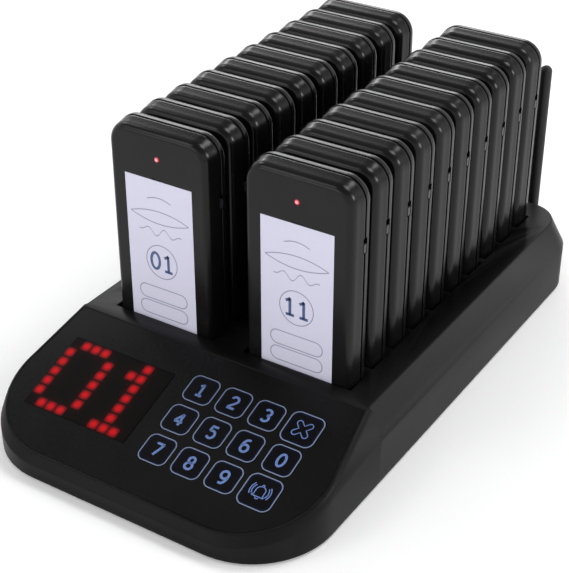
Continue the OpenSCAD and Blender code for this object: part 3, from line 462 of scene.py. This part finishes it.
KEY_ROWS = [["key_1", "key_2", "key_3", "key_cancel"],
            ["key_4", "key_5", "key_6", "key_0"],
            ["key_7", "key_8", "key_9", "key_call"]]
KEY_X, KEY_DX, LAST_DX = 3.95, 15.52, 16.3
KEY_V, KEY_DV = 18.1, 15.7
CAP, WIDE_CAP, CAP_R, CAP_MARGIN = 13.2, 15.0, 3.25, 0.1
GLOW_MM, LINE_MM = (1.8, 0.1), (0.32, 0.18)
KEY_DIGIT, KEY_BOLD = 6.6, 1.05
CROSS_REACH, CROSS_HALF, CROSS_BOLD = 3.3, 1.15, 0.45
BELL_BOLD = 0.42
DIGIT_STEP, DIGIT_TALL = 0.72, 0.86

key_black = moulded("key_black", colour(8, 8, 9), 0.26, grain_mm=2.0, depth=0.01, drift=0.03,
                    specular=0.12)
legend_blue = moulded("legend_blue", colour(92, 116, 168), 0.4, grain_mm=0.5, depth=0.02,
                      specular=0.2)


def box_line(x, y, half_w, half_h, radius):
    """Distance to the outline of a rounded rectangle round the origin."""
    a, b = abs(x) - (half_w - radius), abs(y) - (half_h - radius)
    return abs(far(a.at_least(0.0), b.at_least(0.0)) + a.at_least(b).at_most(0.0) - radius)


def ringed(half, radius, name):
    """Print on a cap: the distance to a rounded square of half width half gives line and glow."""
    ground = colour(10, 10, 13)
    material, wire, shader = surface(name, ground, 0.26, specular=0.12)
    _, x, y, _ = placed(wire)
    away = box_line(x, y, half, half, radius)
    glow = away.fade(*GLOW_MM).blend(ground, colour(9, 15, 36))
    plug(away.fade(*LINE_MM).blend(glow, colour(120, 132, 158)), shader, "Base Color")
    return material


def stroke(path, width, closed=False):
    """Flat ribbon of even width along a path (n, 2), closed as a solid between the ink heights."""
    path = np.asarray(path, float)
    along = np.roll(path, -1, 0) - np.roll(path, 1, 0) if closed else np.gradient(path, axis=0)
    normal = np.stack([-along[:, 1], along[:, 0]], -1) / np.linalg.norm(along, axis=1)[:, None]
    left, right = path + normal * width / 2, path - normal * width / 2
    n = len(path)
    points = np.concatenate([np.c_[side, np.full(n, z)] for z in INK for side in (left, right)])
    faces = []
    for k in range(n if closed else n - 1):
        m = (k + 1) % n
        faces += [(k, m, n + m, n + k), (2 * n + k, 3 * n + k, 3 * n + m, 2 * n + m),
                  (k, 2 * n + k, 2 * n + m, m), (n + k, n + m, 3 * n + m, 3 * n + k)]
    if not closed:
        faces += [(0, n, 3 * n, 2 * n), (n - 1, 3 * n - 1, 4 * n - 1, 2 * n - 1)]
    return points, faces


def arc(x, y, radius, start, end, steps=14):
    """Points on a circle round (x, y) between two angles in degrees."""
    angle = np.radians(np.linspace(start, end, steps))
    return np.stack([x + radius * np.cos(angle), y + radius * np.sin(angle)], -1)


def digit_lines(digit):
    """Paths of a bold digit one unit tall round the origin, each with True if it is closed."""
    def oval(x, y, wide, high, start, end, steps):
        return arc(0, 0, 1, start, end, steps) * [wide, high] + [x, y]

    top, low, side = 0.43, -0.43, 0.24
    six = [(oval(0, -0.17, side, 0.26, 0, 360, 29)[:-1], True),
           (np.concatenate([oval(0.02, -0.06, 0.26, 0.49, 180, 92, 9), [[0.16, top]]]), False)]
    return {
        "0": [(oval(0, 0, side, top, 0, 360, 37)[:-1], True)],
        "1": [([[0.02, low], [0.02, 0.0], [0.02, top]], False),
              ([[-0.2, 0.27], [-0.08, 0.33], [0.05, top]], False),
              ([[-0.2, low], [0, low], [0.24, low]], False)],
        "2": [(np.concatenate([oval(0, 0.19, side, 0.24, 165, -40, 16), [[-0.23, low + 0.03]]]),
               False),
              ([[-0.26, low], [0, low], [0.27, low]], False)],
        "3": [(oval(-0.01, 0.22, 0.23, 0.21, 150, -90, 15), False),
              (oval(-0.01, -0.2, side, 0.23, 90, -150, 15), False)],
        "4": [([[0.1, low], [0.1, 0.0], [0.1, top]], False),
              ([[0.1, top], [-0.1, 0.13], [-0.28, -0.16]], False),
              ([[-0.3, -0.17], [0, -0.17], [0.27, -0.17]], False)],
        "5": [([[0.22, top], [0, top], [-0.22, top]], False),
              ([[-0.18, top], [-0.19, 0.25], [-0.2, 0.06]], False),
              (oval(-0.01, -0.15, side, 0.28, 128, -148, 17), False)],
        "6": six,
        "7": [([[-0.26, top], [0, top], [0.27, top]], False),
              ([[0.24, top], [0.08, 0.0], [-0.09, low]], False)],
        "8": [(oval(0, 0.22, 0.2, 0.21, 0, 360, 25)[:-1], True),
              (oval(0, -0.2, side, 0.23, 0, 360, 29)[:-1], True)],
        "9": [(-path, closed) for path, closed in six],
    }[digit]


def lettering(text, height, bold):
    """Points and faces of digits side by side round the origin, height tall with strokes of
    width bold, in millimetres."""
    parts = []
    for k, digit in enumerate(text):
        shift = np.array([(k - (len(text) - 1) / 2) * DIGIT_STEP, 0])
        for path, closed in digit_lines(digit):
            path = (np.asarray(path) + shift) * (height - bold) / DIGIT_TALL
            parts.append((*stroke(path, bold, closed), 0))
    return together(parts)[:2]


def cross_outline(reach, half):
    """Outline of a diagonal cross with round ends: four arcs at its ends, and a corner between
    two."""
    points = []
    for turn in np.radians([45, 135, 225, 315]):
        end = reach * np.array([math.cos(turn), math.sin(turn)])
        degrees = math.degrees(turn)
        points.append(end + arc(0, 0, half, degrees - 90, degrees + 90, 9))
        corner = turn + math.radians(45)
        points.append(np.array([[math.cos(corner), math.sin(corner)]]) * half * math.sqrt(2))
    return np.concatenate(points)


def bell_lines():
    """Bell: dome and skirt, rim, clapper, loop, and two sound arcs on each side."""
    rim_x, rim_y, dome_r, skirt_y = 2.7, -2.0, 2.0, -1.2
    dome = np.concatenate([[[-rim_x, rim_y], [-dome_r, skirt_y]], arc(0, 0.6, dome_r, 180, 0, 15),
                           [[dome_r, skirt_y], [rim_x, rim_y]]])
    lines = [(dome, False), ([[-rim_x, rim_y], [0, rim_y], [rim_x, rim_y]], False),
             (arc(0, -2.2, 0.8, 200, 340, 7), False), (arc(0, 2.9, 0.45, 0, 340, 9), True)]
    for radius in (3.5, 4.4):
        lines += [(arc(0, 0.4, radius, start, start + 72, 9), False) for start in (-32, 140)]
    return lines


prints = {CAP: ringed(6.3, 3.0, "cap_print"), WIDE_CAP: ringed(7.2, 3.3, "wide_cap_print")}
for r, row in enumerate(KEY_ROWS):
    for c, name in enumerate(row):
        dress(key_black, name)
        middle = [KEY_X + min(c, 2) * KEY_DX + (LAST_DX if c > 2 else 0), -KEY_V - r * KEY_DV, 0]
        size = WIDE_CAP if name in ("key_cancel", "key_call") else CAP
        if name == "key_cancel":
            marks = [stroke(cross_outline(CROSS_REACH, CROSS_HALF), CROSS_BOLD, closed=True)]
        elif name == "key_call":
            marks = [stroke(path, BELL_BOLD, closed) for path, closed in bell_lines()]
        else:
            marks = [lettering(name[-1], KEY_DIGIT, KEY_BOLD)]
        film = pad(rounded(size - CAP_MARGIN, size - CAP_MARGIN, CAP_R), *FILM)
        points, faces, which = together([(*film, 0)] + [(*mark, 1) for mark in marks])
        piece(name + "_print", on_slope(points + middle), faces, [prints[size], legend_blue],
              name + "_cap", which, place=points)


# ---------- rear sockets ----------
# A power inlet and a rocker switch sit in the rear wall. Beside them a brass bushing with a
# hexagon nut holds the antenna's swivel.

dress(component_black, "power_jack", "switch_body")
dress(moulded("rocker_black", colour(30, 30, 32), 0.3), "power_rocker")
dress(brushed("connector_brass", colour(201, 168, 106), 0.3), "antenna_connector")


# ---------- antenna ----------
# A short whip in black rubbery plastic with a domed tip, in a forked knuckle that swivels
# and folds.

dress(moulded("antenna_black", colour(24, 24, 25), 0.46, grain_mm=0.5, depth=0.08, specular=0.3),
      "antenna_rod", "antenna_knuckle")


# ---------- pager cases ----------
# A front and a back shell in satin black ABS are pressed together at a groove. The case has a
# seat for the label with a thumb notch, a hole for the lamp, a slot for the switch at its
# right side, and two gold pads in its foot.

PAGER_W, PAGER_H, PAGER_T, PAGER_R = 50.0, 105.0, 12.8, 9.5
BORDER_W, BORDER_D, TAPER = 3.6, 4.0, 0.78
BACK_ROUND, FLAT_IN = 2.8, 0.4
SEAM_Y, SEAM, SEAM_D, EDGE = 8.2, 0.4, 1.2, 0.16
LABEL_W, LABEL_H, LABEL_T, LABEL_DROP = 32.8, 71.0, 0.25, 21.8
LABEL_Z = PAGER_H - LABEL_DROP - LABEL_H
LAMP_D, LAMP_Z = 2.2, PAGER_H - 12.3
SWITCH_LEN, SWITCH_GAP = 6.6, 2.4
SWITCH_Z = PAGER_H - 27.2 - SWITCH_LEN / 2
SWITCH_Y = SEAM_Y + SEAM / 2 - SWITCH_GAP / 2
OUTSIDE, SEAT_GAP, SEAT_D, LAMP_GAP, LAMP_HOLE_D = -1, 0.1, LABEL_T + 0.02, 0.05, 1.2
SLOT_D, KNOB_GAP, KNOB_IN, KNOB_OUT, KNOB_TOP = 3.4, 0.3, 4.4, 0.1, 3.9
NOTCH_R, NOTCH_DROP, NOTCH_D = 3.4, 1.6, 0.5
PAD_X, PAD_W, PAD_T, PAD_H = 8, 5.0, 3.2, 0.3

pager_black = moulded("pager_black", colour(10, 10, 11), 0.24, grain_mm=0.3, depth=0.03,
                      specular=0.25)
switch_knob = moulded("switch_knob", colour(40, 40, 43), 0.42)
dress(switch_knob, "pager_01_switch")


def case_profile():
    """(inset, depth) round a case's edge: elliptic border, tapered flank, groove, round back."""
    turn = np.radians(np.linspace(0, 90, 9))
    border = np.stack([BORDER_W - (BORDER_W - TAPER) * np.sin(turn),
                       BORDER_D * (1 - np.cos(turn))], -1)
    flank = np.array([[0.53, 5.5], [0.28, 7.0], [0.18, SEAM_Y - 0.6], [0.22, SEAM_Y - 0.35],
                      [0.45, SEAM_Y - 0.1], [0.9, SEAM_Y + 0.02], [SEAM_D, SEAM_Y + 0.05]])
    ledge = np.array([[SEAM_D, SEAM_Y + SEAM - 0.02], [EDGE, SEAM_Y + SEAM],
                      [0.07, SEAM_Y + SEAM + 0.07], [0, SEAM_Y + SEAM + EDGE]])
    back = np.stack([BACK_ROUND * (1 - np.cos(turn)),
                     PAGER_T - BACK_ROUND * (1 - np.sin(turn))], -1)
    return np.concatenate([[[BORDER_W + FLAT_IN, 0]], border, flank, ledge, back,
                           [[BACK_ROUND + FLAT_IN, PAGER_T]]])


def case_shell():
    """Closed case: the rounded outline, drawn in by the profile's inset, at its depth."""
    rings = []
    for inset, depth in case_profile():
        flat = rounded(PAGER_W, PAGER_H, PAGER_R, inset, steps=10)
        rings.append(np.c_[flat[:, 0], np.full(len(flat), depth), flat[:, 1] + PAGER_H / 2])
    n, m = len(rings[0]), len(rings)
    index = np.arange(n * m).reshape(m, n)
    after = np.roll(index, -1, 1)
    sides = np.stack([index[:-1], index[1:], after[1:], after[:-1]], -1).reshape(-1, 4).tolist()
    return np.concatenate(rings), [index[0].tolist(), index[-1][::-1].tolist()] + sides


def block(low, high):
    """Box between two corners."""
    (x0, y0, z0), (x1, y1, z1) = low, high
    points = np.array([(x, y, z) for z in (z0, z1) for y in (y0, y1) for x in (x0, x1)], float)
    return points, [(0, 2, 3, 1), (4, 5, 7, 6), (0, 1, 5, 4), (2, 6, 7, 3), (0, 4, 6, 2),
                    (1, 3, 7, 5)]


def rod(x, z, radius, y0, y1, steps=28):
    """Cylinder along y."""
    angle = np.radians(np.linspace(0, 360, steps, endpoint=False))
    ring = np.stack([x + radius * np.cos(angle), z + radius * np.sin(angle)], -1)
    points = np.concatenate([np.c_[ring[:, 0], np.full(steps, y), ring[:, 1]] for y in (y0, y1)])
    faces = [list(range(steps)), list(range(2 * steps - 1, steps - 1, -1))]
    faces += [(k, steps + k, steps + (k + 1) % steps, (k + 1) % steps) for k in range(steps)]
    return points, faces


def plain(name, points, faces):
    """Mesh object that is only there to be carved or to carve."""
    mesh = bpy.data.meshes.new(name)
    mesh.from_pydata(np.asarray(points, float).tolist(), [], faces)
    made = bpy.data.objects.new(name, mesh)
    bpy.context.scene.collection.objects.link(made)
    return made


def carved(shape, cutters):
    """The shape with every cutter taken out of it, as points and faces."""
    body = plain("carving", *shape)
    tools = [plain("cutter", *cutter) for cutter in cutters]
    for tool in tools:
        cut = body.modifiers.new("cut", "BOOLEAN")
        cut.operation, cut.solver, cut.object = "DIFFERENCE", "EXACT", tool
    bpy.context.view_layer.update()
    shown = body.evaluated_get(bpy.context.evaluated_depsgraph_get())
    mesh = bpy.data.meshes.new_from_object(shown)
    points = np.zeros(len(mesh.vertices) * 3)
    mesh.vertices.foreach_get("co", points)
    faces = [list(face.vertices) for face in mesh.polygons]
    for made in [body] + tools:
        bpy.data.objects.remove(made)
    return points.reshape(-1, 3), faces


seat = block((-LABEL_W / 2 - SEAT_GAP, OUTSIDE, LABEL_Z - SEAT_GAP),
             (LABEL_W / 2 + SEAT_GAP, SEAT_D, LABEL_Z + LABEL_H + SEAT_GAP))
notch = rod(0, PAGER_H - LABEL_DROP - NOTCH_DROP, NOTCH_R, OUTSIDE, NOTCH_D)
lamp_hole = rod(0, LAMP_Z, LAMP_D / 2 + LAMP_GAP, OUTSIDE, LAMP_HOLE_D)
switch_slot = block((PAGER_W / 2 - SLOT_D, SWITCH_Y, SWITCH_Z),
                    (PAGER_W / 2 + 1, SWITCH_Y + SWITCH_GAP, SWITCH_Z + SWITCH_LEN))
shell_points, shell_faces = carved(case_shell(), [seat, notch, lamp_hole, switch_slot])
knob = block((PAGER_W / 2 - KNOB_IN, SWITCH_Y + KNOB_GAP, SWITCH_Z + KNOB_GAP),
             (PAGER_W / 2 - KNOB_OUT, SWITCH_Y + SWITCH_GAP - KNOB_GAP, SWITCH_Z + KNOB_TOP))
pads = [block((x - PAD_W / 2, PAGER_T / 2 - PAD_T / 2, -0.01),
              (x + PAD_W / 2, PAGER_T / 2 + PAD_T / 2, PAD_H)) for x in (-PAD_X, PAD_X)]


# ---------- labels, lamps and the twenty pagers ----------
# A white card with the pager's number lies in each seat, under a red lens. Only the lamps of
# pagers 01 and 11 are lit. Pager 01 keeps the CAD's own switch and contacts.

RING_Z, RING_R = 33.8, 7.7
BOX_ZS, BOX_W, BOX_H, BOX_R = (17.8, 10.2), 12.0, 3.2, 3.1
LENS_ZS, LENS_BEND, LENS_W = (57.2, 51.6), 0.0135, 14.4
WAVE_Z, WAVE_TURNS, WAVE_H, WAVE_SINK, WAVE_W = 47.6, 0.75, 1.9, 0.015, 10.5
ARCH_Z, ARCH_R, ARCH_LOW = 51.0, 12.4, 62.0
NUMBER_H, NUMBER_BOLD, NUMBER_SINK = 8.8, 1.25, 0.02
LENS_RISE, LENS_BACK = 0.35, 1.1


def label_paper():
    """Off-white card. Its print is worked out from distances: a ring for the number, two
    rounded boxes under it, and over it a lens, a wave and an arch."""
    def ending(line, beyond):
        return line + beyond.at_least(0.0) * 4.0

    material, wire, shader = surface("label_paper", colour(224, 222, 242), 0.55, specular=0.3)
    place, x, _, z = placed(wire)
    ring = abs(far(x, z - RING_Z) - RING_R)
    high_box, low_box = [box_line(x, z - middle, BOX_W, BOX_H, BOX_R) for middle in BOX_ZS]
    bend = x * x * LENS_BEND
    lens = abs(z - LENS_ZS[0] + bend).at_most(abs(z - LENS_ZS[1] - bend))
    wave = abs(z - WAVE_Z - (x * WAVE_TURNS).math("SINE") * (WAVE_H - x * x * WAVE_SINK))
    arch = abs(far(x, z - ARCH_Z) - ARCH_R)
    near = high_box.at_most(low_box).at_most(ring)
    near = near.at_most(ending(lens, abs(x) - LENS_W)).at_most(ending(wave, abs(x) - WAVE_W))
    near = near.at_most(ending(arch, ARCH_LOW - z))
    fibre = wire.node("TexNoise", {"Vector": place, "Scale": 1.6, "Detail": 4.0})
    paper = fibre.blend(colour(219, 218, 238), colour(228, 226, 245))
    ink = near.fade(0.3, 0.12) * 0.75
    plug(ink.blend(paper, colour(96, 104, 140)), shader, "Base Color")
    return material


def lamp_red(name, strength):
    """Clear red lens, and if it is lit a pink-white core that fades to red at the rim."""
    material, wire, shader = surface(name, colour(120, 10, 16), 0.15)
    _, x, _, z = placed(wire)
    away = far(x, z)
    plug(away.fade(0.2, 1.0).blend(colour(255, 190, 205), colour(210, 16, 40)), shader,
         "Emission Color")
    plug(away.fade(0.3, 1.1).blend(colour(150, 20, 30), colour(70, 6, 10)), shader, "Base Color")
    shader.inputs["Emission Strength"].default_value = strength
    return material


def lens_dome(radius, rise, back, steps=20):
    """Dome y = -rise (1 - (r / radius) squared), closed by a rod back into the case."""
    angle = np.radians(np.linspace(0, 360, steps, endpoint=False))
    rings = [(r, -rise * (1 - (r / radius) ** 2)) for r in np.array([0.35, 0.7, 1.0]) * radius]
    points = [[[0.0, -rise, 0.0]]]
    for r, y in rings + [(radius, back)]:
        points.append(np.stack([r * np.cos(angle), np.full(steps, y), r * np.sin(angle)], -1))
    after = [(k + 1) % steps for k in range(steps)]
    faces = [(0, 1 + k, 1 + after[k]) for k in range(steps)]
    for j in range(len(rings)):
        a, b = 1 + j * steps, 1 + (j + 1) * steps
        faces += [(a + k, b + k, b + after[k], a + after[k]) for k in range(steps)]
    faces.append([1 + len(rings) * steps + k for k in range(steps)][::-1])
    return np.concatenate(points), faces


paper_print = label_paper()
label_print = moulded("label_print", colour(70, 90, 132), 0.55, grain_mm=0.6, depth=0.02)
lit, unlit = lamp_red("lamp_lit", 1.0), lamp_red("lamp_dark", 0.0)
sheet = block((-LABEL_W / 2, 0, LABEL_Z), (LABEL_W / 2, LABEL_T, LABEL_Z + LABEL_H))
lens, lens_faces = lens_dome(LAMP_D / 2, LENS_RISE, LENS_BACK)
for pager in range(1, 21):
    body = f"pager_{pager:02d}"
    first = pager == 1
    low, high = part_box("pager_01_front_shell" if first else body)
    corner = np.array([(low[0] + high[0]) / 2, low[1], low[2]])

    parts = [(shell_points, shell_faces, 0)]
    if not first:
        parts += [(*knob, 1), (*pads[0], 2), (*pads[1], 2)]
    points, faces, which = together(parts)
    case = piece(body + "_case", corner + points * MM, faces,
                 [pager_black, switch_knob, contact_gold], body, which, sharp=35)
    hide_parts(*(["pager_01_front_shell", "pager_01_back_shell"] if first else [body]))

    flat, its = lettering(f"{pager:02d}", NUMBER_H, NUMBER_BOLD)
    upright = np.stack([flat[:, 0], NUMBER_SINK - flat[:, 2], flat[:, 1] + LABEL_Z + RING_Z], -1)
    points, faces, which = together([(*sheet, 0), (upright, its, 1)])
    label = piece(body + "_paper", corner + points * MM, faces, [paper_print, label_print], body,
                  which, place=points - [0, 0, LABEL_Z])
    lamp = piece(body + "_lens", corner + (lens + [0, 0, LAMP_Z]) * MM, lens_faces,
                 [lit if pager in (1, 11) else unlit], body, place=lens)
    if first:
        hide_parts("pager_01_label")
        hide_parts("pager_01_lamp")
